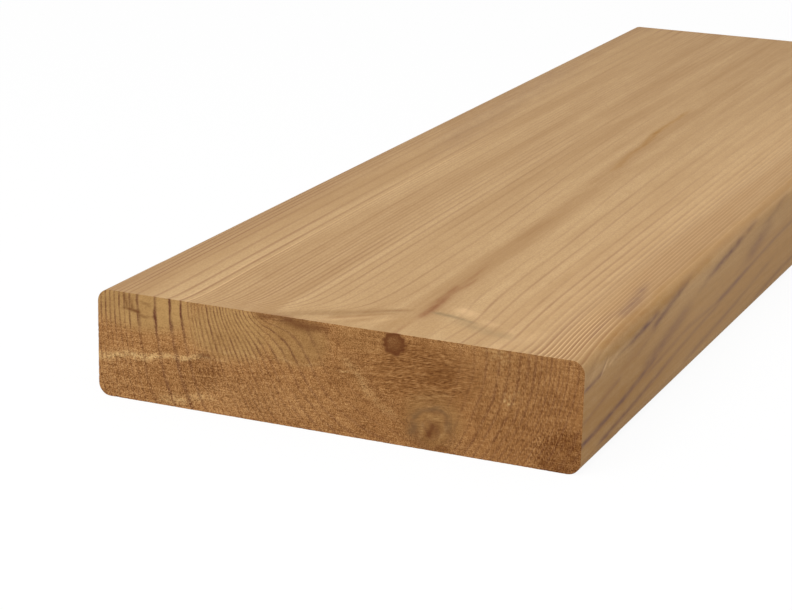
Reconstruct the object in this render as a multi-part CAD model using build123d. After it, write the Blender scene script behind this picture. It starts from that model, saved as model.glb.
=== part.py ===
from build123d import *

import os

# Heat-treated pine board: one length of solid stock, planed on all four sides,
# with its four long edges rounded by the planer and both ends sawn off square.
#
# Frame: X runs across the width, Y along the grain, Z up through the thickness.
# The origin is at the middle of the underside, so the board lies flat on Z = 0.

# Driving dimensions, in millimetres
WIDTH = 120.0
THICKNESS = 26.0
LENGTH = 400.0
LONG_EDGE_RADIUS = 3.0


def planed_section():
    """The cross-section that the planer leaves: a rectangle standing on Z = 0, with all four corners rounded."""
    upright = Plane(origin=(0, 0, THICKNESS / 2), x_dir=(1, 0, 0), z_dir=(0, -1, 0))
    return upright * RectangleRounded(WIDTH, THICKNESS, LONG_EDGE_RADIUS)


def sawn_to_length(section):
    """The section carried along the grain, half of the length each way, and cut off square at both ends."""
    return extrude(section, amount=LENGTH / 2, both=True)


board = sawn_to_length(planed_section())
board.label = "heat_treated_board"

os.makedirs("parts", exist_ok=True)
export_step(board, "parts/heat_treated_board.step")
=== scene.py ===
"""The looks of a heat-treated pine board: one length of planed stock, sawn off square at both ends.

The board is one closed surface, worked out with numpy. Its marks come from the tree that it was sawn from:
growth rings round a pith just under the top face, and three branches that leave the pith together near one
end and push the rings outwards. The same rings are cut by every face, so a line on the sawn end goes on
along the planed faces.

Lengths are in millimetres until a mesh, lamp or camera is made: x across the board, d along it from the
near sawn end, z up from the underside.
"""

import math

import bpy
import numpy as np
from mathutils import Matrix, Vector


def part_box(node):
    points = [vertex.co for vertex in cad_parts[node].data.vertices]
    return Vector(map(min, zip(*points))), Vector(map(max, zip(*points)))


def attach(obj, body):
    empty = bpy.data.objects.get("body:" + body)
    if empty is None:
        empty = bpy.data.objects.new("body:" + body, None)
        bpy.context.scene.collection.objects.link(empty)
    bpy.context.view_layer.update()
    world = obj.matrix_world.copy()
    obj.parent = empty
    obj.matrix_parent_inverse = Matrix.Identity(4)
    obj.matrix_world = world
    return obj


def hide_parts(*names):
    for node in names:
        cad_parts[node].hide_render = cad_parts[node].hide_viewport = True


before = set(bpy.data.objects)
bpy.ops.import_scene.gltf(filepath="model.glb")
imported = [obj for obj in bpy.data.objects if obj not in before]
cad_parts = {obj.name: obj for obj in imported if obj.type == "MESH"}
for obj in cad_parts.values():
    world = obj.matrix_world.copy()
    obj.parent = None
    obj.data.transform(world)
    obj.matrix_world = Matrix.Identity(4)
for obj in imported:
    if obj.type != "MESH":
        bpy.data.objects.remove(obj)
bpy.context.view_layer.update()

MM = 0.001
NODE = "heat_treated_board"
LOW, HIGH = (np.array(corner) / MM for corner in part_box(NODE))
WIDTH, LENGTH, THICKNESS = HIGH - LOW
EDGE_RADIUS = 3.0  # as on the CAD solid

# Mesh steps: across the width, up the flat of the edge, and round each long edge
ACROSS, UP, ROUND = 332, 76, 9
# Mesh steps along the board: fine ones near the branches, and then coarse ones that grow
FINE_LENGTH, FINE_STEPS, COARSE_STEPS, COARSE_FIRST = 27.0, 42, 48, 0.25

# The tree: outer radius of each growth ring, counted outwards from the pith
RING_RADII = np.array([
    0.0, 4.6, 8.6, 12.6, 16.2, 19.2, 22.3, 25.2, 27.4, 29.8, 31.6, 33.2, 34.7, 36.0, 37.3, 38.5, 39.7,
    40.9, 42.1, 43.4, 44.8, 46.1, 47.7, 48.6, 49.6, 50.7, 53.4, 57.0, 61.4, 66.0, 67.4, 68.8, 70.1, 71.4,
    72.6, 73.8, 75.0, 76.2, 77.4, 80.5,
])
# Width of a ring's dark part in the inner rings, the wide outer ones and the narrow last ones, the radii
# over which one kind gives way to the next, and the least and the most of a ring that it fills
INNER_LATEWOOD, OUTER_LATEWOOD, LAST_LATEWOOD = 1.2, 1.65, 0.65
OUTER_RINGS, LAST_RINGS = (51.0, 55.0), (62.5, 67.5)
LEAST_LATEWOOD, MOST_LATEWOOD, MOST_ON_RIGHT_SIDE = 0.16, 0.7, 0.34
PITH = (15.4, 23.6)  # x and z at the near end
AXIS_DRIFT, AXIS_DRIFT_OVER = -3.2, 115.0  # how far the axis goes to the left, and over what length
PITH_SWAY, PITH_SWAY_FROM, PITH_SWAY_TO = -6.0, 70.0, 230.0  # how far the pith sways, and where
PITH_PULL = 11.0  # how far from the pith the rings still follow its sway
PITH_RADIUS, PITH_POINTS, PITH_POINT_DEPTH = 2.6, 9, 0.1  # a small star
# Crowded rings: by how much, the radii where that begins, is full and ends, and how far to the right
CROWDING, CROWD_FROM, CROWD_MOST, CROWD_TO = 2.1, 31.0, 43.0, 51.0
CROWD_RIGHT = (10.0, 25.0)

# Branches: where each one's axis meets the near end's plane, the share of their radius that the rings
# lose on it, how far from it that fades, and how softly they turn over it
WHORL = (15.2, 19.0, 24.8)
BRANCHES = (
    ((-15.5, 0.0, 26.4), 0.52, 3.6, 0.8),
    ((58.0, 0.0, 28.5), 0.032, 11.0, 4.0),
    ((24.8, 0.0, 5.2), 0.42, 6.5, 1.0),
)
# The lower branch's knot in the near end: its middle, its radius, its rings and its soft rim
KNOT, KNOT_RADIUS, KNOT_RING, KNOT_RIM = (24.8, 5.0), 6.2, 2.75, 1.5

# Ring lines on the planed faces: the radii over which they set in, how strong the inner ones are, what the
# outer and the last ones add, and how much all of them lose over which way along the board
PLANED_FROM, PLANED_LINES, PLANED_OUTER, PLANED_LAST = (2.5, 7.0), 0.68, 0.22, 0.2
FADING, FADING_OVER = 0.7, (50.0, 260.0)
# Right of these x they gain near the sawn end and lose further on, and on the right side they lose a little
RIGHT_BAND, BAND_GAIN, BAND_LOSS, BAND_LOSS_OVER = (44.0, 48.0), 0.4, 0.66, (16.0, 46.0)
RIGHT_SIDE, SIDE_LOSS = (58.0, 60.0), 0.1
# Ring lines on the sawn ends: the radii over which they set in, how strong the inner ones are, what the
# outer ones add, what a clean cut adds to both, what the last ones lose, and how strong the knot's rings are
SAWN_FROM, SAWN_LINES, SAWN_OUTER = (8.0, 22.0), 0.55, 0.6
CLEAN_LINES, CLEAN_OUTER, LAST_LOSS, KNOT_LINES = 0.35, 0.3, 0.4, 0.5

# Marks, each a straight soft stroke: start, end, half width and strength
MARK_WAVER = 0.35
MARKS = {
    # Darker wood along the pith, the left edge, the left branch and the right edge, and darker towards the
    # far end;
    # over the whole right side a darker, redder tone, partly the wood's own and partly painted shade
    "heart_and_shade": (
        ((14.8, 24, 26), (12.2, 110, 26), 3.6, 0.62),
        ((12.2, 110, 26), (7.0, 220, 26), 3.8, 0.5),
        ((7.0, 220, 26), (9.0, 400, 26), 3.8, 0.45),
        ((14, 3, 26), (14.6, 24, 26), 2.5, 0.3),
        ((-57, -10, 26), (-57, 410, 26), 7.0, 0.45),
        ((-5, 340, 26), (-5, 430, 26), 60.0, 0.3),
        ((-29.5, 30, 26), (-30, 120, 26), 2.2, 0.3),
        ((57, 20, 26), (57, 410, 26), 3.5, 0.1),
        ((10.5, 17.2, 26), (3.0, 12.2, 26), 1.2, 0.75),
        ((3.0, 12.2, 26), (-6.0, 6.2, 26), 2.0, 0.6),
        ((-6.0, 6.2, 26), (-13.0, 1.6, 26), 2.3, 0.5),
        ((8.0, 12.8, 26), (0.0, 6.6, 26), 1.0, 0.6),
        # Painted shade in part: a darker, redder tone over the whole right side
        ((60, -20, 10), (60, 420, 11), 15.0, 0.62),
    ),
    # Wood soaked with resin; and over the whole right side an amber tone, partly the wood's own and partly
    # painted shade
    "amber_and_shade": (
        ((8.4, 176, 26), (6.2, 210, 26), 0.8, 0.75),
        ((6.2, 210, 26), (4.6, 232, 26), 1.0, 0.95),
        ((4.4, 237, 26), (5.0, 256, 26), 0.8, 0.75),
        ((58.8, 16, 25.6), (58.6, 60, 25.6), 1.6, 0.6),
        ((57.7, 60, 26), (57.4, 260, 26), 1.4, 0.45),
        # Painted shade in part: an amber tone over the whole right side
        ((60, -20, 10), (60, 420, 11), 15.0, 0.56),
        ((59.8, 12, 23.4), (59.8, 95, 24.4), 1.5, 0.66),
        ((9.0, 7.0, 26), (20.0, 8.0, 26), 6.0, 0.12),
    ),
    # Resin streaks on top, and on the near end dark snags of the saw and the knot's core
    "resin": (
        ((15.6, 1, 26), (15.5, 9, 26), 0.5, 0.3),
        ((15.5, 17, 26), (15.3, 30, 26), 1.15, 0.8),
        ((15.2, 30, 26), (14.0, 40, 26), 0.75, 0.65),
        ((15.6, 34, 26), (15.4, 48, 26), 0.5, 0.5),
        ((14.0, 44, 26), (13.4, 62, 26), 0.4, 0.35),
        ((-17.0, 0, 25.7), (-10.0, 0, 25.3), 0.8, 0.7),
        ((-11.0, 0, 25.2), (-3.5, 0, 24.3), 1.3, 0.75),
        ((-53.4, 0, 21.9), (-49.6, 0, 21.9), 0.42, 0.9),
        ((-52.6, 0, 22.0), (-52.7, 0, 25.2), 0.36, 0.8),
        ((-51.2, 0, 21.9), (-51.3, 0, 24.8), 0.36, 0.8),
        ((-51.6, 0, 24.7), (-49.8, 0, 24.6), 0.36, 0.7),
        ((-48.4, 0, 24.6), (-46.6, 0, 24.0), 0.36, 0.7),
        ((-49.0, 0, 21.3), (-45.4, 0, 21.1), 0.36, 0.6),
        ((-33, 0, 13.3), (-31, 0, 13.5), 0.6, 0.8),
        ((1.0, 0, 25.5), (1.7, 0, 19.5), 0.36, 0.35),
        ((24.4, 0, 3.9), (24.8, 0, 5.6), 1.0, 0.85),
        ((25.6, 0, 4.6), (25.9, 0, 6.0), 0.75, 0.65),
        ((19.0, 0, 11.0), (29.0, 0, 12.2), 0.45, 0.2),
        ((6.6, 0, 18.5), (10.6, 0, 12.6), 0.8, 0.2),
        ((10.6, 0, 12.6), (17.0, 0, 8.2), 0.8, 0.2),
        ((10.2, 16.6, 26), (1.0, 10.6, 26), 0.5, 0.25),
        ((-1.5, 7.2, 26), (-9.0, 3.2, 26), 0.5, 0.2),
        ((7.0, 11.4, 26), (-2.0, 3.8, 26), 0.5, 0.2),
        ((9.6, 12.0, 26), (4.0, 4.4, 26), 0.5, 0.14),
        ((59.2, 19, 25.3), (59.1, 48, 25.3), 0.9, 0.2),
        ((32.4, 0, 1.4), (35.5, 0, 5.6), 0.8, 0.3),
        ((35.5, 0, 5.6), (36.2, 0, 11.0), 0.8, 0.25),
    ),
    # Stains beside the branches and round the knot
    "stain": (
        ((8.0, 15.0, 26), (0.0, 9.6, 26), 1.5, 0.2),
        ((0.0, 9.6, 26), (-10.0, 3.0, 26), 2.2, 0.2),
        ((18.5, 18.6, 26), (26.5, 15.8, 26), 0.9, 0.85),
        ((27.5, 13.6, 26), (37.0, 9.4, 26), 2.0, 0.4),
        ((37.5, 9.0, 26), (40.5, 8.2, 26), 1.8, 0.12),
        ((20.2, 0, 4.0), (20.5, 0, 5.2), 1.2, 0.6),
        ((28.6, 0, 5.4), (28.8, 0, 6.8), 0.9, 0.4),
        ((20.4, 0, 7.4), (22.4, 0, 9.4), 0.55, 0.6),
        ((22.4, 0, 9.4), (26.4, 0, 10.0), 0.55, 0.6),
        ((26.4, 0, 10.0), (28.8, 0, 8.6), 0.55, 0.5),
    ),
    # Mauve scars and streaks, most of them on the right side
    "blush": (
        ((53.8, 60, 26), (54.4, 52, 26), 1.3, 0.6),
        ((54.6, 52, 26), (55.7, 40, 26), 1.6, 0.62),
        ((54.2, 36, 26), (54.9, 19, 26), 1.0, 0.24),
        ((47.5, 14, 26), (46.8, 320, 26), 1.7, 0.11),
        ((54.4, 62, 26), (53.2, 320, 26), 3.0, 0.07),
        ((50.0, 80, 26), (48.6, 320, 26), 2.4, 0.05),
        ((-54, 300, 26), (-47, 190, 26), 6.0, 0.18),
        ((-57, -10, 26), (-57, 410, 26), 6.0, 0.08),
        ((60, 0, 19.2), (60, 11, 20.2), 0.6, 0.95),
        ((60, 11, 20.3), (60, 15, 22.9), 0.45, 0.45),
        ((60, 21, 21.1), (60, 34, 21.8), 0.4, 0.45),
        ((60, 33, 21.8), (60, 49, 22.7), 0.75, 1.0),
        ((60, 51, 20.6), (60, 62, 22.2), 1.0, 0.85),
        ((60, 60, 22.2), (60, 73, 23.4), 0.75, 0.85),
        ((60, 72, 23.4), (60, 89, 25.2), 0.5, 0.6),
        ((60, 38, 17.2), (60, 52, 19.4), 0.5, 0.3),
        ((60, 86, 18.9), (60, 98, 21.1), 0.6, 0.5),
        ((60, 97, 21.1), (60, 124, 24.0), 0.95, 1.0),
        ((60, 124, 24.0), (60, 144, 25.4), 0.6, 0.7),
        ((60, 150, 22.0), (60, 174, 25.0), 0.8, 0.4),
        ((60, 0, 6.8), (60, 30, 9.5), 0.75, 0.95),
        ((60, 29, 9.4), (60, 52, 12.0), 0.8, 0.85),
        ((60, 48, 12.4), (60, 74, 16.2), 1.9, 0.6),
        ((60, 45, 9.8), (60, 80, 11.8), 0.6, 0.5),
        ((60, 80, 11.8), (60, 106, 11.9), 0.65, 0.55),
        ((60, 105, 11.9), (60, 131, 13.8), 0.8, 1.0),
        ((60, 131, 13.8), (60, 176, 15.5), 0.65, 0.75),
        ((60, 14, 4.0), (60, 62, 7.5), 0.7, 0.75),
        ((60, 62, 7.5), (60, 106, 11.2), 0.65, 0.6),
        ((60, 80, 3.8), (60, 125, 7.3), 0.7, 0.65),
        ((60, 125, 7.3), (60, 157, 9.6), 0.7, 0.45),
        ((60, 145, 3.0), (60, 188, 4.8), 0.7, 0.55),
        ((60, 2, 12.0), (60, 25, 15.2), 0.5, 0.35),
        ((60, 136, 17.4), (60, 147, 19.4), 2.2, 0.65),
    ),
    # Pale sapwood, and on the near end bared fibres; and painted highlights on the top along the branches'
    # right leg and near the sawn end right of it, and on torn grain of the right side
    "pale_and_highlight": (
        ((-60, 0, 9.8), (-46, 0, 11.4), 0.85, 0.95),
        ((-46, 0, 11.4), (-34, 0, 12.9), 0.65, 0.95),
        ((-27, 0, 4.5), (-13, 0, 5.0), 4.0, 0.1),
        ((-34, 0, 12.9), (-27, 0, 13.6), 0.35, 0.7),
        ((-41, 0, 1.6), (-32, 0, 3.4), 1.2, 0.6),
        ((-27, 0, 15.4), (5, 0, 15.6), 0.3, 0.35),
        ((4.5, 0, 17.5), (8.6, 0, 12.0), 1.0, 0.26),
        ((8.6, 0, 12.0), (14.5, 0, 7.5), 1.0, 0.2),
        ((27.4, 0, 3.2), (27.9, 0, 5.8), 0.55, 0.25),
        ((26.6, 0, 7.4), (24.0, 0, 7.8), 0.55, 0.18),
        ((22.3, 0, 6.0), (22.5, 0, 3.4), 0.5, 0.2),
        ((20.0, 0, 12.2), (28.0, 0, 13.2), 0.4, 0.16),
        ((41.6, 0, 14.6), (41.9, 0, 16.4), 0.36, 0.5),
        ((42.7, 0, 14.2), (43.0, 0, 16.8), 0.36, 0.7),
        ((43.8, 0, 14.6), (44.2, 0, 17.0), 0.36, 0.7),
        ((44.9, 0, 15.0), (45.2, 0, 16.8), 0.36, 0.5),
        ((42, 30, 26), (42, 420, 26), 16.0, 0.13),
        # Painted highlight: a pale patch on the top near the sawn end, right of the branches' right leg
        ((39.0, -4, 26), (42.0, 8, 26), 4.0, 0.27),
        ((55.2, 34, 26), (55.5, 21, 26), 0.5, 0.15),
        ((60, 90, 13), (60, 420, 14), 14.0, 0.16),
        # Painted highlights on the pale edges of torn grain on the right side
        ((60, 11.5, 19.9), (60, 15.5, 22.4), 0.45, 0.55),
        ((60, 17, 21.0), (60, 22, 21.8), 0.45, 0.45),
        ((60, 44, 23.4), (60, 48, 22.7), 0.45, 0.4),
        # Painted highlights: pale crests along the far side of the branches' right leg
        ((22.5, 22.6, 26), (24.5, 21.4, 26), 2.2, 0.42),
        ((5.0, 8.4, 26), (-2.0, 2.2, 26), 0.8, 0.22),
        ((10.4, 9.0, 26), (6.0, 3.0, 26), 0.9, 0.2),
        ((30.5, 17.4, 26), (32.5, 16.4, 26), 1.8, 0.3),
        ((37.0, 13.6, 26), (38.5, 12.8, 26), 1.6, 0.25),
    ),
    # Where the first wood of spring is pale
    "pale_ring": (
        ((52, 0, 26), (50, 260, 26), 9.0, 0.22),
        ((53.0, -8, 26), (52.5, 24, 26), 5.0, 0.8),
        ((-36.6, 0, 26), (-37.2, 60, 26), 1.6, 0.65),
        ((-37.2, 60, 26), (-37.8, 180, 26), 1.6, 0.4),
    ),
}

# Patches, each a soft ellipse: its middle, its half width and half height, and its strength.
# On the near end, where the teeth cut clean, where torn fibres lie in a hatching, and where they stand up
SMOOTH = (
    (-48, 23.5, 19, 8, 1.0), (-26, 20.5, 15, 9, 0.9), (-9, 20.5, 11, 7.5, 0.8), (8, 23.5, 9, 4, 0.2),
    (25, 7, 9, 9, 0.7),
)
HATCHED = ((23, 17.5, 18, 9, 0.85), (25, 8.5, 9, 7, 0.7))
UPRIGHT = ((46, 13, 19, 18, 1.0),)
# Also on the near end, where specks show more, where they show less, and where the wood is darker
ROUGH = ((-44, 5, 24, 11, 0.3), (-33, 9.5, 7, 6, 0.5), (57, 3, 10, 9, 1.0), (20, 17, 19, 9, 0.5))
CALM = ((46, 13, 21, 19, 0.34),)
DARK = (
    (24, 17.5, 20, 10.5, 0.52), (27, 17.8, 6, 5, 0.74), (24, 6.5, 11, 9.5, 0.44), (46, 14.5, 21, 17, 0.34),
    (57, 3, 10.5, 10, 0.7), (60, 17, 5, 13, 0.32), (0, 8, 34, 14, 0.06), (8, 15, 12, 9, 0.25),
    (9, 22, 10, 5, 0.32), (-9, 22.5, 7, 5.5, 0.3), (-6, 19, 8, 5.5, 0.26), (-42, 5, 9.5, 7, 0.22),
    (12, 5, 9.5, 7, 0.28), (40, 24.5, 5, 5, 0.45), (-33, 9.5, 7, 5, 0.35), (27.6, 0.9, 2.6, 1.1, 0.7),
)
# Along the planed faces, where ring lines show less
QUIET = ((3, 4, 17, 11, 0.85), (-30, 120, 13, 110, 0.4), (-4, 70, 17, 80, 0.2))

# Sawn ends: noise cells, the tears' grain and seeds, their depth for each unit of noise under the start, the
# most units, and how much less there are of tears and of specks where the teeth cut clean
NOISE_CELL, TEAR_GRAIN, NEAR_SEED, FAR_SEED = 0.2, 0.16, 3, 4
TEAR_DEPTH, TEAR_START, TEAR_MOST = 0.05, 0.6, 3
CLEAN_TEARS, CLEAN_SPECKS = 0.7, 0.6

# Colours, as sRGB hex
EARLYWOOD, LATEWOOD = "#C7A577", "#8A5F3E"
SAWN_EARLYWOOD, SAWN_LATEWOOD, SMOOTH_EARLYWOOD = "#A07142", "#603726", "#B4915B"
# The sawn end's pit and fibre colours are partly painted shade in the pits and painted highlight on the torn
# fibres
SAWN_BROWN, SAWN_PIT_AND_SHADE, SAWN_FIBRE_AND_HIGHLIGHT, PITH_BROWN = "#74471F", "#5C3415", "#CC9E68", "#603519"
SAWN_PALE = "#DCB67C"
# The heart brown and the amber also serve as painted shade over the right side, and the pale sapwood as
# painted highlights
HEART_AND_SHADE_BROWN, AMBER_AND_SHADE, RESIN_BROWN, PALE_SAPWOOD_AND_HIGHLIGHT = "#A07A4E", "#9C7036", "#804A26", "#E4BC8C"
STAIN_OLIVE, SAWN_STAIN, BLUSH_MAUVE = "#86704E", "#6E5236", "#6E4C40"
FLOOR_WHITE, FLOOR_GREY = "#FAFAFA", "#E4E4E4"

# Gloss of bare wood: its refraction, how much of the mirror shine its open fibres leave, and its roughness
# in earlywood and denser latewood, and on a sawn end where it is torn and where it is cut clean
WOOD_IOR, WOOD_SHINE = 1.5, 0.1
EARLYWOOD_ROUGHNESS, LATEWOOD_ROUGHNESS, TORN_ROUGHNESS, CLEAN_ROUGHNESS = 0.66, 0.6, 0.9, 0.75

# The map that the colours can be baked to: where the underside, the right side, the top and the left side
# begin and end across it, where the board's length begins and how far it goes, and what each end fills
STRIP = (0.005, 0.205, 0.295, 0.72, 0.8)
STRIP_START, STRIP_LENGTH = 0.005, 0.99
END_ACROSS, NEAR_END, FAR_END = (0.815, 0.995), (0.005, 0.595), (0.605, 0.995)

# Photograph: the camera stands to the right of the near end, and looks along the board and down at it
CAMERA_FROM_NEAR_END = (211.26, -457.30, 182.88)
CAMERA_TURN, CAMERA_TILT, CAMERA_ROLL = 23.159, 16.811, 1.352
CAMERA_LENS, CAMERA_SENSOR = 107.325, 36.0

# Studio, in metres and watts: the floor's reach and the share of it that is seen as white light, the room as
# light on the board and as seen, and the lamp
FLOOR_REACH, FLOOR_GLOW = 4.0, 0.93
ROOM_LIGHT, ROOM_SEEN = 0.6, 1.0
LAMP_SIZE, LAMP_POWER, LAMP_PLACE, LAMP_AIM = 1.2, 14.5, (-0.05, -0.9, 1.15), (0, -0.15, 0)


def linear(code):
    """An sRGB hex colour as linear RGBA."""
    levels = np.array([int(code[i:i + 2], 16) for i in (1, 3, 5)]) / 255
    curve = np.where(levels <= 0.04045, levels / 12.92, ((levels + 0.055) / 1.055) ** 2.4)
    return (*curve.tolist(), 1.0)


def ease(value, start, stop):
    """0 at start, 1 at stop, and between them the S-curve 3t^2 - 2t^3."""
    t = np.clip((value - start) / (stop - start), 0, 1)
    return t * t * (3 - 2 * t)


# The tree

def branch_distance(points, tip):
    """How far each point is from the ray that leaves the whorl towards the tip."""
    start = np.array(WHORL)
    along = np.array(tip) - start
    along = along / np.linalg.norm(along)
    offset = points - start
    reach = np.maximum(offset @ along, 0)
    return np.linalg.norm(offset - reach[:, None] * along, axis=1)


def growth(points):
    """Radius of each point in the tree, as if no branch had pushed it.
    It is the distance from an axis that drifts to the left, less and less, and that near the pith sways with
    the pith. It is shortened by a share that fades as an exponential with the distance from each branch,
    rounded off on the branch itself, so that rings bulge along a branch. On the right an S-curve up and down
    again is added, which crowds the rings on the board and thins them out round its edge."""
    x, d, z = points.T
    axis = PITH[0] + AXIS_DRIFT * (1 - np.exp(-d / AXIS_DRIFT_OVER))
    sway = PITH_SWAY * ease(d, PITH_SWAY_FROM, PITH_SWAY_TO)
    follow = np.exp(-((x - axis - sway) ** 2 + (z - PITH[1]) ** 2) / (2 * PITH_PULL ** 2))
    radius = np.hypot(x - axis - sway * follow, z - PITH[1])
    for tip, share, spread, softness in BRANCHES:
        distance = np.hypot(branch_distance(points, tip), softness) - softness
        radius = radius * (1 - share * np.exp(-distance / spread))
    crowd = CROWDING * ease(radius, CROWD_FROM, CROWD_MOST) * ease(radius, CROWD_TO, CROWD_MOST)
    return radius + crowd * ease(x - axis, *CROWD_RIGHT)


def knot(x, z):
    """How much each place on the near end belongs to the knot, and how many of the knot's own rings it is
    from the knot's middle. The knot is a little taller than wide, and sine waves bend its rings."""
    right, up = x - KNOT[0], z - KNOT[1]
    distance = np.hypot(right + 0.6 * np.sin(1.1 * up), 0.9 * up + 0.5 * np.sin(1.3 * right + 0.7))
    return ease(distance, KNOT_RADIUS, KNOT_RADIUS - KNOT_RIM), distance / KNOT_RING


def strokes(points, marks):
    """Strength of the marks at each point: for each one, a bell curve of the distance from its line. Past
    the ends of a long mark the way counts less than aside, up to a third, so that it fades out slowly.
    Points are first moved a little by sine waves, so that no mark runs dead straight."""
    x, d, z = points.T
    waves = (np.sin(d / 5.0 + z / 1.3), np.sin(x / 2.4 + z / 1.9), np.sin(x / 1.6 + d / 15.0))
    points = points + MARK_WAVER * np.stack(waves, axis=1)
    total = np.zeros(len(points))
    for start, end, half_width, strength in marks:
        line = np.array(end, float) - start
        length = np.linalg.norm(line)
        offset = points - start
        along = offset @ line / length
        aside = np.linalg.norm(offset - along[:, None] * line / length, axis=1)
        past = np.maximum(np.abs(along - length / 2) - length / 2, 0) / (1 + min(length / 6, 2))
        total = np.maximum(total, strength * np.exp(-(aside ** 2 + past ** 2) / half_width ** 2))
    return total


def patches(x, y, ellipses):
    """Strength of the patches at each place: for each one, 1 in the middle and easing to 0 at its rim."""
    total = np.zeros(x.shape)
    for middle_x, middle_y, half_width, half_height, strength in ellipses:
        distance = np.hypot((x - middle_x) / half_width, (y - middle_y) / half_height)
        total = np.maximum(total, strength * ease(distance, 1.0, 0.5))
    return total


def pith_star(x, z):
    """How dark the pith is at each place, a small star with a darker rim: a circle whose radius waves with
    the angle, softly edged."""
    angle = np.arctan2(z - PITH[1], x - PITH[0])
    radius = PITH_RADIUS * (1 + PITH_POINT_DEPTH * np.cos(PITH_POINTS * angle + 2 * np.sin(2 * angle)))
    share = np.hypot(x - PITH[0], z - PITH[1]) / radius
    return ease(share, 1.2, 0.9) * (0.65 + 0.35 * ease(share, 0.4, 0.9))


# The board

def mottle(x, z, across, up, seed):
    """Even noise with a spread of 1 at each place on a sawn end: seeded white noise on a fine grid, blurred
    by bell curves of the given widths by way of its Fourier transform, and read straight between its cells.
    It repeats past its edges."""
    shape = (int(THICKNESS / NOISE_CELL), int(WIDTH / NOISE_CELL))
    noise = np.fft.rfft2(np.random.default_rng(seed).standard_normal(shape))
    waves_up = np.fft.fftfreq(shape[0], NOISE_CELL)[:, None] * up
    waves_across = np.fft.rfftfreq(shape[1], NOISE_CELL)[None, :] * across
    blurred = np.fft.irfft2(noise * np.exp(-2 * (math.pi * np.hypot(waves_up, waves_across)) ** 2), shape)
    row, column = z / NOISE_CELL, x / NOISE_CELL
    low, left = np.floor(row).astype(int), np.floor(column).astype(int)
    total = 0
    for i, j in ((0, 0), (0, 1), (1, 0), (1, 1)):
        weight = (1 - np.abs(row - low - i)) * (1 - np.abs(column - left - j))
        total = total + weight * blurred[(low + i) % shape[0], (left + j) % shape[1]]
    return total / blurred.std()


def torn_fibres(x, z, near):
    """How the saw's teeth left the fibres at each place on an end, as noise about 0, low in a pit, and on
    the near end less where the teeth cut clean."""
    torn = mottle(x, z, TEAR_GRAIN, TEAR_GRAIN, seed=NEAR_SEED if near else FAR_SEED)
    return torn * (1 - CLEAN_TEARS * patches(x, z, SMOOTH)) if near else torn


def section_grid():
    """x and z over the whole section, as rows from the underside up to the top face.
    Row heights follow the rounded corner's angle and then even steps, and each row's points are spread
    evenly over its own half width, the square root of r^2 - h^2 more than the flat at height h from the
    corner's middle, so that the grid's outline is the section's outline."""
    turn = np.linspace(0, math.pi / 2, ROUND + 1)
    corner = EDGE_RADIUS * (1 - np.cos(turn))
    flat = np.linspace(EDGE_RADIUS, THICKNESS - EDGE_RADIUS, UP + 1)
    heights = np.concatenate([corner, flat[1:-1], THICKNESS - corner[::-1]])
    inset = np.clip(EDGE_RADIUS - np.minimum(heights, THICKNESS - heights), 0, None)
    half_widths = WIDTH / 2 - EDGE_RADIUS + np.sqrt(EDGE_RADIUS ** 2 - inset ** 2)
    x = np.linspace(-1, 1, ACROSS + 1)[None, :] * half_widths[:, None]
    return x, np.repeat(heights[:, None], ACROSS + 1, axis=1)


def rim(table):
    """The outline of a grid table, once round from its first corner and back to it."""
    return np.concatenate([table[0, :-1], table[:-1, -1], table[-1, :0:-1], table[::-1, 0]])


def cells(table):
    """The four corners of each cell of a grid table, in order round the cell."""
    return np.stack([table[:-1, :-1], table[:-1, 1:], table[1:, 1:], table[1:, :-1]], axis=-1).reshape(-1, 4)


def seam(fine, coarse):
    """The triangles between a fine row and a coarse row that has every second one of its points."""
    first, middle, last = fine[:-1:2], fine[1::2], fine[2::2]
    left, right = coarse[:-1], coarse[1:]
    return np.concatenate([np.stack(corner, axis=-1) for corner in
                           ((first, middle, left), (middle, right, left), (middle, last, right))])


def sawn_end(x, z, near):
    """The points of a sawn end: the section's grid, sunk inwards where the fibres are torn."""
    pits = TEAR_DEPTH * np.clip(TEAR_START - torn_fibres(x, z, near), 0, TEAR_MOST)
    return np.stack([x, pits if near else LENGTH - pits, z], axis=-1).reshape(-1, 3)


def wall(outline, stations):
    """The points of an outline carried to each station along the board."""
    carried = np.repeat(outline[None, :-1], len(stations), axis=0)
    carried[:, :, 1] = stations[:, None]
    return carried.reshape(-1, 3)


def closed_table(start, rows, columns):
    """Index table of points laid out in rows from start, with the first column again after the last."""
    table = start + np.arange(rows * columns).reshape(rows, columns)
    return np.hstack([table, table[:, :1]])


def bake_places(x, z, fine_stations, coarse_stations):
    """Where each corner of each face lies in the map that the colours can be baked to, in the order of the
    faces: the wall unrolled into one strip, with a narrow underside and a wide top, and the ends beside
    it."""
    counts = np.cumsum([0, ACROSS, UP + 2 * ROUND, ACROSS, UP + 2 * ROUND])
    around = np.interp(np.arange(counts[-1] + 1), counts, STRIP)
    places = []
    for u, d in ((around, np.append(0, fine_stations)), (around[::2], np.append(coarse_stations, LENGTH))):
        u, v = np.meshgrid(u, STRIP_START + STRIP_LENGTH * d / LENGTH)
        places.append(np.stack([cells(u), cells(v)], axis=-1))
    u = np.interp(z, (0, THICKNESS), END_ACROSS)
    near_v, far_v = (np.interp(x, (-WIDTH / 2, WIDTH / 2), reach) for reach in (NEAR_END, FAR_END))
    places.append(np.stack([cells(u), cells(near_v)], axis=-1))
    places.append(np.stack([cells(u[::2, ::2]), cells(far_v[::2, ::2])], axis=-1)[:, ::-1])
    v = STRIP_START + STRIP_LENGTH * np.array([fine_stations[-1], coarse_stations[0]]) / LENGTH
    seam_v = seam(np.full(around.shape, v[0]), np.full(around[::2].shape, v[1]))
    places.append(np.stack([seam(around, around[::2]), seam_v], axis=-1))
    return np.concatenate([place.reshape(-1, 2) for place in places])


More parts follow.
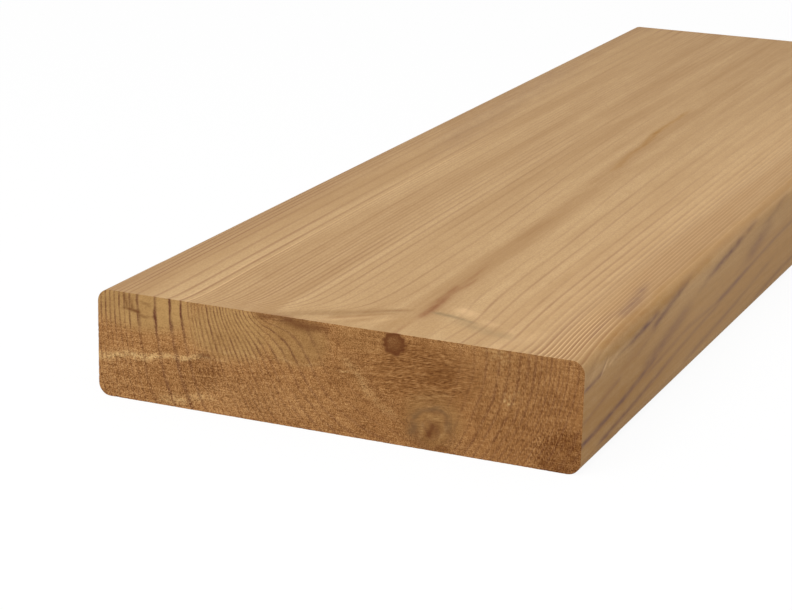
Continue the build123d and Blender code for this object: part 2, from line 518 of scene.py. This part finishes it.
def build_board():
    """The board as one closed mesh: a torn grid on each sawn end, and the grid's outline carried along the
    board, in fine even steps past the branches and then in coarse steps that grow with the square of the
    way. The far end's grid and the coarse steps have half as many points each way round."""
    x, z = section_grid()
    fine_stations = np.linspace(0, FINE_LENGTH, FINE_STEPS + 1)[1:]
    way = np.linspace(0, 1, COARSE_STEPS + 1)[1:-1]
    way = COARSE_FIRST * way + (1 - COARSE_FIRST) * way ** 2
    coarse_stations = FINE_LENGTH + (LENGTH - FINE_LENGTH) * way
    near = sawn_end(x, z, True)
    far = sawn_end(x[::2, ::2], z[::2, ::2], False)
    near_table = np.arange(len(near)).reshape(x.shape)
    far_table = len(near) + np.arange(len(far)).reshape(x[::2, ::2].shape)
    near_rim, far_rim = rim(near_table), rim(far_table)
    fine = wall(near[near_rim], fine_stations)
    coarse = wall(near[near_rim[::2]], coarse_stations)
    start = len(near) + len(far)
    fine_table = closed_table(start, len(fine_stations), len(near_rim) - 1)
    coarse_table = closed_table(start + len(fine), len(coarse_stations), len(far_rim) - 1)
    points = np.concatenate([near, far, fine, coarse])
    quads = np.concatenate([
        cells(np.vstack([near_rim, fine_table])),
        cells(np.vstack([coarse_table, far_rim])),
        cells(near_table),
        cells(far_table)[:, ::-1],
    ])
    triangles = seam(fine_table[-1], coarse_table[0])
    finish = np.zeros(len(quads) + len(triangles), np.int32)
    sawn = len(cells(near_table)) + len(cells(far_table))
    finish[len(quads) - sawn:len(quads)] = 1

    mesh = bpy.data.meshes.new("heat_treated_pine_board")
    mesh.from_pydata(((points + (0, LOW[1], 0)) * MM).tolist(), [], quads.tolist() + triangles.tolist())
    mesh.polygons.foreach_set("use_smooth", np.ones(len(finish), bool))
    mesh.polygons.foreach_set("material_index", finish)
    on_rim = np.zeros(len(points), bool)
    on_rim[near_rim] = True
    on_rim[far_rim] = True
    ends = np.empty(2 * len(mesh.edges), np.int32)
    mesh.edges.foreach_get("vertices", ends)
    mesh.edges.foreach_set("use_edge_sharp", on_rim[ends.reshape(-1, 2)].all(axis=1))
    places = bake_places(x, z, fine_stations, coarse_stations)
    mesh.uv_layers.new(name="OFBake").data.foreach_set("uv", places.astype(np.float32).ravel())
    for name, values in wood_fields(points, len(near), len(far)).items():
        mesh.attributes.new(name, "FLOAT", "POINT").data.foreach_set("value", values.astype(np.float32))
    mesh.materials.append(planed_pine())
    mesh.materials.append(sawn_pine())
    board = bpy.data.objects.new("planed_board", mesh)
    bpy.context.scene.collection.objects.link(board)
    return board


def wood_fields(points, near_count, far_count):
    """What the materials read at each point: the ring count, the latewood's share of a ring and how strongly
    it shows, the marks, and how the saw left each place on the sawn ends."""
    x, d, z = points.T
    order = np.arange(len(points))
    on_near_end = order < near_count
    on_far_end = ~on_near_end & (order < near_count + far_count)
    radius = growth(points)
    rings = np.interp(radius, RING_RADII, np.arange(len(RING_RADII)))
    ring_width = np.diff(RING_RADII)[np.minimum(rings.astype(int), len(RING_RADII) - 2)]
    outer, last = ease(radius, *OUTER_RINGS), ease(radius, *LAST_RINGS)
    on_side = ease(x, *RIGHT_SIDE)
    latewood_width = INNER_LATEWOOD + (OUTER_LATEWOOD - INNER_LATEWOOD) * outer
    latewood_width = latewood_width + (LAST_LATEWOOD - latewood_width) * last
    most_latewood = MOST_LATEWOOD + (MOST_ON_RIGHT_SIDE - MOST_LATEWOOD) * on_side
    in_knot, knot_rings = knot(x, z)
    in_knot = in_knot * on_near_end
    smooth = patches(x, z, SMOOTH) * on_near_end
    planed_lines = ease(radius, *PLANED_FROM) * (PLANED_LINES + PLANED_OUTER * outer + PLANED_LAST * last)
    planed_lines = planed_lines * (1 - FADING * ease(d, *FADING_OVER))
    planed_lines = planed_lines * (1 - patches(x, d, QUIET)) * (1 - SIDE_LOSS * on_side)
    gain = BAND_GAIN - BAND_LOSS * ease(d, *BAND_LOSS_OVER)
    planed_lines = planed_lines * (1 + ease(x, *RIGHT_BAND) * gain)
    sawn_lines = SAWN_LINES + SAWN_OUTER * outer + (CLEAN_LINES + CLEAN_OUTER * outer) * smooth
    sawn_lines = ease(radius, *SAWN_FROM) * sawn_lines * (1 - LAST_LOSS * last)
    sawn_lines = sawn_lines + in_knot * (KNOT_LINES - sawn_lines)
    torn = np.where(on_near_end, torn_fibres(x, z, True), torn_fibres(x, z, False) * on_far_end)
    specks = (patches(x, z, ROUGH) - patches(x, z, CALM)) * on_near_end
    fields = {name: strokes(points, marks) for name, marks in MARKS.items()}
    fields["resin"] = np.maximum(fields["resin"], pith_star(x, z) * on_near_end)
    return fields | {
        "rings": rings + in_knot * (knot_rings - rings),
        "late_share": np.clip(latewood_width / ring_width + in_knot, LEAST_LATEWOOD, most_latewood),
        "lines": np.where(on_near_end | on_far_end, sawn_lines, planed_lines),
        "smooth": smooth,
        "rough": 1 - CLEAN_SPECKS * smooth + specks,
        "hatched": patches(x, z, HATCHED) * on_near_end,
        "upright": patches(x, z, UPRIGHT) * on_near_end,
        "dark": patches(x, z, DARK) * on_near_end,
        "torn": torn,
    }


# Materials

def add_node(tree, kind, settings=None, inputs=None):
    """Adds one node, with its settings, and its inputs as values or as links from other nodes' outputs."""
    made = tree.nodes.new(kind)
    for name, value in (settings or {}).items():
        setattr(made, name, value)
    for key, value in (inputs or {}).items():
        if isinstance(value, bpy.types.NodeSocket):
            tree.links.new(value, made.inputs[key])
        else:
            made.inputs[key].default_value = value
    return made


def new_material(name):
    """An empty node material and its tree."""
    material = bpy.data.materials.new(name)
    material.use_nodes = True
    material.node_tree.nodes.clear()
    return material, material.node_tree


def read_fields(tree, names, grains):
    """What a wood material works from, by name: the board's own fields, and noise on Object coordinates,
    each with a grain size in millimetres across, along and up the board, a detail, and a climb to the right
    in radians."""
    found = {}
    for name in names:
        found[name] = add_node(tree, "ShaderNodeAttribute", {"attribute_name": name}).outputs["Fac"]
    place = add_node(tree, "ShaderNodeTexCoord").outputs["Object"]
    for name, (size, detail, climb) in grains.items():
        scale = [length * MM for length in size]
        scaled = add_node(tree, "ShaderNodeMapping", {"vector_type": "TEXTURE"},
                          {"Vector": place, "Rotation": (0, -climb, 0), "Scale": scale})
        found[name] = add_node(tree, "ShaderNodeTexNoise", None,
                               {"Vector": scaled.outputs[0], "Scale": 1.0, "Detail": detail}).outputs["Fac"]
    return found


def latewood(tree, field, shift, weakest):
    """How dark the latewood is at each point, and how far through its ring the point is, from 0 to 1. The
    dark rises over the latewood's share of the ring and drops at the ring's outer edge. Each ring has a
    strength of its own, noise fades the lines along their way, and more noise shifts the ring count, so
    that they waver."""
    count = add_node(tree, "ShaderNodeMath", {"operation": "MULTIPLY_ADD"},
                     {0: field["waver"], 1: shift, 2: field["rings"]}).outputs[0]
    ring = add_node(tree, "ShaderNodeMath", {"operation": "FLOOR"}, {0: count}).outputs[0]
    way = add_node(tree, "ShaderNodeMath", {"operation": "FRACT"}, {0: count}).outputs[0]
    begin = add_node(tree, "ShaderNodeMath", {"operation": "SUBTRACT"},
                     {0: 1.0, 1: field["late_share"]}).outputs[0]
    full = add_node(tree, "ShaderNodeMath", {"operation": "MULTIPLY_ADD"},
                    {0: field["late_share"], 1: -0.4, 2: 1.0}).outputs[0]
    rise = add_node(tree, "ShaderNodeMapRange", {"interpolation_type": "SMOOTHSTEP"},
                    {"Value": way, "From Min": begin, "From Max": full}).outputs[0]
    drop = add_node(tree, "ShaderNodeMapRange", {"interpolation_type": "SMOOTHSTEP"},
                    {"Value": way, "From Min": 1.0, "From Max": 0.84}).outputs[0]
    chance = add_node(tree, "ShaderNodeTexWhiteNoise", {"noise_dimensions": "1D"}, {"W": ring})
    strength = add_node(tree, "ShaderNodeMapRange", None,
                        {"Value": chance.outputs["Value"], "To Min": weakest}).outputs[0]
    fading = add_node(tree, "ShaderNodeMapRange", None,
                      {"Value": field["fading"], "From Min": 0.3, "From Max": 0.6, "To Min": 0.4}).outputs[0]
    dark = rise
    for factor in (drop, strength, fading, field["lines"]):
        dark = add_node(tree, "ShaderNodeMath", {"operation": "MULTIPLY"}, {0: dark, 1: factor}).outputs[0]
    return dark, way


def planed_pine():
    """Pine, heat-treated and planed: toasted right through, with thin darker latewood lines along the board
    and fine fibre streaks. It has a low, silky shine, a little stronger on the dense latewood."""
    material, tree = new_material("planed_heat_treated_pine")
    # Pine fibres are about 0.03 mm wide and 3 mm long, too fine to show, so they are drawn as bundles 0.3 mm
    # wide. Resin canals are about 0.2 mm wide, and are drawn 0.35 mm wide. The rest is as large as on a real
    # board: streaks and patches of a millimetre, and rings that fade and waver over a few.
    field = read_fields(tree, ("rings", "late_share", "lines", *MARKS), {
        "fibre": ((0.3, 14, 0.3), 2.5, 0),
        "pores": ((0.35, 0.8, 0.35), 1.0, 0),
        "waver": ((7, 90, 7), 1.0, 0),
        "fading": ((2.5, 45, 2.5), 1.0, 0),
        "bands": ((6, 160, 6), 2.0, 0),
        "blotch": ((3, 12, 3), 2.0, 0),
        "patchy": ((1.2, 5, 1.2), 2.0, 0),
        "streaks": ((0.9, 40, 0.9), 2.0, 0),
    })
    dark, way = latewood(tree, field, shift=0.3, weakest=0.45)
    spring = add_node(tree, "ShaderNodeMapRange", {"interpolation_type": "SMOOTHSTEP"},
                      {"Value": way, "From Min": 0.3, "From Max": 0.05}).outputs[0]
    light = add_node(tree, "ShaderNodeMath", {"operation": "MULTIPLY"},
                     {0: spring, 1: field["pale_ring"]}).outputs[0]
    grain = add_node(tree, "ShaderNodeMath", {"operation": "MULTIPLY_ADD"},
                     {0: field["pores"], 1: 1.7, 2: field["fibre"]}).outputs[0]
    tone = add_node(tree, "ShaderNodeMapRange", None,
                    {"Value": grain, "From Min": 1.0, "From Max": 1.7, "To Max": 0.3}).outputs[0]
    band = add_node(tree, "ShaderNodeMapRange", None,
                    {"Value": field["bands"], "From Min": 0.35, "From Max": 0.65, "To Max": 0.5}).outputs[0]
    blotch = add_node(tree, "ShaderNodeMapRange", None,
                      {"Value": field["blotch"], "From Min": 0.3, "From Max": 0.7,
                       "To Max": 0.15}).outputs[0]
    streaky, patchy = (
        add_node(tree, "ShaderNodeMapRange", None,
                 {"Value": field[name], "From Min": 0.3, "From Max": 0.7, "To Min": least, "To Max": most})
        for name, least, most in (("streaks", 0.5, 1.4), ("patchy", 0.6, 1.2)))
    # The heart and amber marks include a tone over the whole right side that is partly painted shade
    heart_and_shade = add_node(tree, "ShaderNodeMath", {"operation": "MULTIPLY"},
                     {0: field["heart_and_shade"], 1: streaky.outputs[0]}).outputs[0]
    shares = [(heart_and_shade, HEART_AND_SHADE_BROWN), (tone, LATEWOOD), (band, HEART_AND_SHADE_BROWN), (blotch, HEART_AND_SHADE_BROWN),
              (dark, LATEWOOD)]
    # The pale marks include painted highlights on the top and on the right side
    for name, hue in (("amber_and_shade", AMBER_AND_SHADE), ("resin", RESIN_BROWN), ("stain", STAIN_OLIVE),
                      ("blush", BLUSH_MAUVE), ("pale_and_highlight", PALE_SAPWOOD_AND_HIGHLIGHT)):
        share = add_node(tree, "ShaderNodeMath", {"operation": "MULTIPLY"},
                         {0: field[name], 1: patchy.outputs[0]}).outputs[0]
        shares.append((share, hue))
    shares.append((light, PALE_SAPWOOD_AND_HIGHLIGHT))
    colour = linear(EARLYWOOD)
    for share, hue in shares:
        colour = add_node(tree, "ShaderNodeMix", {"data_type": "RGBA"},
                          {0: share, 6: colour, 7: linear(hue)}).outputs[2]
    dull = add_node(tree, "ShaderNodeMapRange", None,
                    {"Value": dark, "To Min": EARLYWOOD_ROUGHNESS, "To Max": LATEWOOD_ROUGHNESS}).outputs[0]
    bump = add_node(tree, "ShaderNodeBump", None,
                    {"Height": field["fibre"], "Strength": 0.3, "Distance": 0.05 * MM})
    shader = add_node(tree, "ShaderNodeBsdfPrincipled", None,
                      {"Base Color": colour, "Roughness": dull, "IOR": WOOD_IOR,
                       "Specular IOR Level": WOOD_SHINE, "Normal": bump.outputs[0]})
    add_node(tree, "ShaderNodeOutputMaterial", None, {"Surface": shader.outputs[0]})
    return material


def sawn_pine():
    """Pine, heat-treated and sawn across the grain: open fibre ends drink in the light, so it is darker and
    redder than the planed faces and dull, a little less so where the teeth cut clean. It is speckled with
    torn fibres, which stand upright to the right of the heart and lie in a hatching below the pith. The
    fibres' pale specks are partly painted highlight, and the dark pits between them partly painted shade."""
    material, tree = new_material("sawn_heat_treated_pine")
    # Fibre ends are about 0.03 mm wide, which is too fine to show, so specks, standing fibres and dashes are
    # drawn as torn bundles 0.16 to 0.2 mm wide, and the saw's scratches 0.22 mm wide
    field = read_fields(tree, ("rings", "late_share", "lines", "resin", "stain", "pale_and_highlight",
                               "smooth", "rough", "hatched", "upright", "dark", "torn"), {
        "speck": ((0.2, 3, 0.2), 1.0, 0),
        "standing": ((0.2, 3, 0.6), 1.0, 0.1),
        "dashes": ((1.1, 3, 0.16), 2.0, 0.2),
        "scratch": ((6, 3, 0.22), 1.0, 0),
        "waver": ((1.5, 60, 4), 3.0, 0),
        "fading": ((2, 60, 3), 2.0, 0),
        "cloud": ((7, 60, 5), 2.0, 0),
        "patchy": ((0.8, 3, 0.6), 1.0, 0),
    })
    dark, _ = latewood(tree, field, shift=0.35, weakest=0.55)
    grain = field["speck"]
    for share, noise in ((field["upright"], field["standing"]), (field["hatched"], field["dashes"])):
        grain = add_node(tree, "ShaderNodeMix", None, {0: share, 2: grain, 3: noise}).outputs[0]
    # Each noise lies about 0.5, so with 0.3 of the scratches added, 0.65 is the middle
    grain = add_node(tree, "ShaderNodeMath", {"operation": "MULTIPLY_ADD"},
                     {0: field["scratch"], 1: 0.3, 2: grain}).outputs[0]
    grain = add_node(tree, "ShaderNodeMath", {"operation": "SUBTRACT"}, {0: grain, 1: 0.65}).outputs[0]
    fine = add_node(tree, "ShaderNodeMath", {"operation": "MULTIPLY"},
                    {0: grain, 1: field["rough"]}).outputs[0]
    fine = add_node(tree, "ShaderNodeMath", {"operation": "MULTIPLY_ADD"},
                    {0: field["dark"], 1: -0.05, 2: fine}).outputs[0]
    grain = add_node(tree, "ShaderNodeMath", {"operation": "MULTIPLY_ADD"},
                     {0: field["torn"], 1: 0.03, 2: fine}).outputs[0]
    # Dark pits and pale torn fibres: their colours are partly their own and partly painted shade in the pits
    # and painted highlight on the fibres
    pit_and_shade = add_node(tree, "ShaderNodeMapRange", None, {"Value": grain, "From Max": -0.3}).outputs[0]
    fibre = add_node(tree, "ShaderNodeMapRange", None, {"Value": grain, "From Max": 0.33}).outputs[0]
    drowned = add_node(tree, "ShaderNodeMath", {"operation": "MULTIPLY"},
                       {0: fibre, 1: field["dark"]}).outputs[0]
    fibre = add_node(tree, "ShaderNodeMath", {"operation": "SUBTRACT"}, {0: fibre, 1: drowned}).outputs[0]
    cloud = add_node(tree, "ShaderNodeMapRange", None,
                     {"Value": field["cloud"], "From Min": 0.42, "From Max": 0.7, "To Max": 0.25}).outputs[0]
    patchy = add_node(tree, "ShaderNodeMapRange", None,
                      {"Value": field["patchy"], "From Min": 0.35, "From Max": 0.65,
                       "To Min": 0.3, "To Max": 1.2}).outputs[0]
    clean, resin, pale_and_highlight = (
        add_node(tree, "ShaderNodeMath", {"operation": "MULTIPLY"}, {0: field[name], 1: factor}).outputs[0]
        for name, factor in (("smooth", 0.7), ("resin", 0.95), ("pale_and_highlight", patchy)))
    colour = linear(SAWN_EARLYWOOD)
    for share, hue in ((clean, SMOOTH_EARLYWOOD), (cloud, SAWN_BROWN), (field["dark"], SAWN_BROWN),
                       (pale_and_highlight, SAWN_PALE), (dark, SAWN_LATEWOOD), (pit_and_shade, SAWN_PIT_AND_SHADE), (fibre, SAWN_FIBRE_AND_HIGHLIGHT),
                       (resin, PITH_BROWN), (field["stain"], SAWN_STAIN)):
        colour = add_node(tree, "ShaderNodeMix", {"data_type": "RGBA"},
                          {0: share, 6: colour, 7: linear(hue)}).outputs[2]
    dull = add_node(tree, "ShaderNodeMapRange", None,
                    {"Value": field["smooth"], "To Min": TORN_ROUGHNESS,
                     "To Max": CLEAN_ROUGHNESS}).outputs[0]
    bump = add_node(tree, "ShaderNodeBump", None, {"Height": fine, "Strength": 0.4, "Distance": 0.15 * MM})
    shader = add_node(tree, "ShaderNodeBsdfPrincipled", None,
                      {"Base Color": colour, "Roughness": dull, "IOR": WOOD_IOR,
                       "Specular IOR Level": WOOD_SHINE, "Normal": bump.outputs[0]})
    add_node(tree, "ShaderNodeOutputMaterial", None, {"Surface": shader.outputs[0]})
    return material


# The studio

def seen_directly(tree):
    """1 for a ray from the camera, a gloss or a clear piece, and 0 for one that only brings light."""
    path = add_node(tree, "ShaderNodeLightPath").outputs
    seen = path["Is Camera Ray"]
    for kind in ("Is Glossy Ray", "Is Transmission Ray"):
        seen = add_node(tree, "ShaderNodeMath", {"operation": "MAXIMUM"},
                        {0: seen, 1: path[kind]}).outputs[0]
    return seen


def build_floor():
    """A plain pale floor. What the camera sees of it is mostly white light, so that it reads as white, and
    the rest is matt paint that takes the board's shadow."""
    material, tree = new_material("matt_floor_paint")
    seen = seen_directly(tree)
    colour = add_node(tree, "ShaderNodeMix", {"data_type": "RGBA"},
                      {0: seen, 6: linear(FLOOR_GREY), 7: linear(FLOOR_WHITE)}).outputs[2]
    share = add_node(tree, "ShaderNodeMath", {"operation": "MULTIPLY"}, {0: seen, 1: FLOOR_GLOW}).outputs[0]
    paint = add_node(tree, "ShaderNodeBsdfDiffuse", None, {"Color": colour}).outputs[0]
    light = add_node(tree, "ShaderNodeEmission", None, {"Strength": 1.0}).outputs[0]
    mixed = add_node(tree, "ShaderNodeMixShader", None, {0: share, 1: paint, 2: light}).outputs[0]
    add_node(tree, "ShaderNodeOutputMaterial", None, {"Surface": mixed})
    corners = [(x * FLOOR_REACH, y * FLOOR_REACH, 0) for x, y in ((-1, -1), (1, -1), (1, 1), (-1, 1))]
    mesh = bpy.data.meshes.new("floor")
    mesh.from_pydata(corners, [], [(0, 1, 2, 3)])
    mesh.materials.append(material)
    floor = bpy.data.objects.new("floor", mesh)
    bpy.context.scene.collection.objects.link(floor)


def build_light():
    """A white room all round, and one large soft lamp above the near end of the board."""
    world = bpy.data.worlds.new("white_room")
    world.use_nodes = True
    tree = world.node_tree
    tree.nodes.clear()
    strength = add_node(tree, "ShaderNodeMapRange", None,
                        {"Value": seen_directly(tree), "To Min": ROOM_LIGHT, "To Max": ROOM_SEEN}).outputs[0]
    sky = add_node(tree, "ShaderNodeBackground", None, {"Color": linear("#FFFFFF"), "Strength": strength})
    add_node(tree, "ShaderNodeOutputWorld", None, {"Surface": sky.outputs[0]})
    bpy.context.scene.world = world
    lamp = bpy.data.lights.new("softbox", "AREA")
    lamp.shape = "SQUARE"
    lamp.size = LAMP_SIZE
    lamp.energy = LAMP_POWER
    softbox = bpy.data.objects.new("softbox", lamp)
    softbox.location = LAMP_PLACE
    softbox.rotation_euler = (Vector(LAMP_AIM) - softbox.location).to_track_quat("-Z", "Y").to_euler()
    bpy.context.scene.collection.objects.link(softbox)


def build_camera():
    """The photograph's camera: turned from the board's length, tilted down, and rolled a little."""
    lens = bpy.data.cameras.new("camera")
    lens.sensor_width = CAMERA_SENSOR
    lens.lens = CAMERA_LENS
    camera = bpy.data.objects.new("camera", lens)
    place = (np.array(CAMERA_FROM_NEAR_END) + (0, LOW[1], 0)) * MM
    turn = Matrix.Rotation(math.radians(CAMERA_TURN), 4, "Z")
    tilt = Matrix.Rotation(math.radians(90 - CAMERA_TILT), 4, "X")
    roll = Matrix.Rotation(math.radians(CAMERA_ROLL), 4, "Z")
    camera.matrix_world = Matrix.Translation(place) @ turn @ tilt @ roll
    bpy.context.scene.collection.objects.link(camera)
    bpy.context.scene.camera = camera


board = build_board()
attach(board, "root")
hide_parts(NODE)
build_floor()
build_light()
build_camera()
bpy.context.scene.view_settings.view_transform = "Standard"
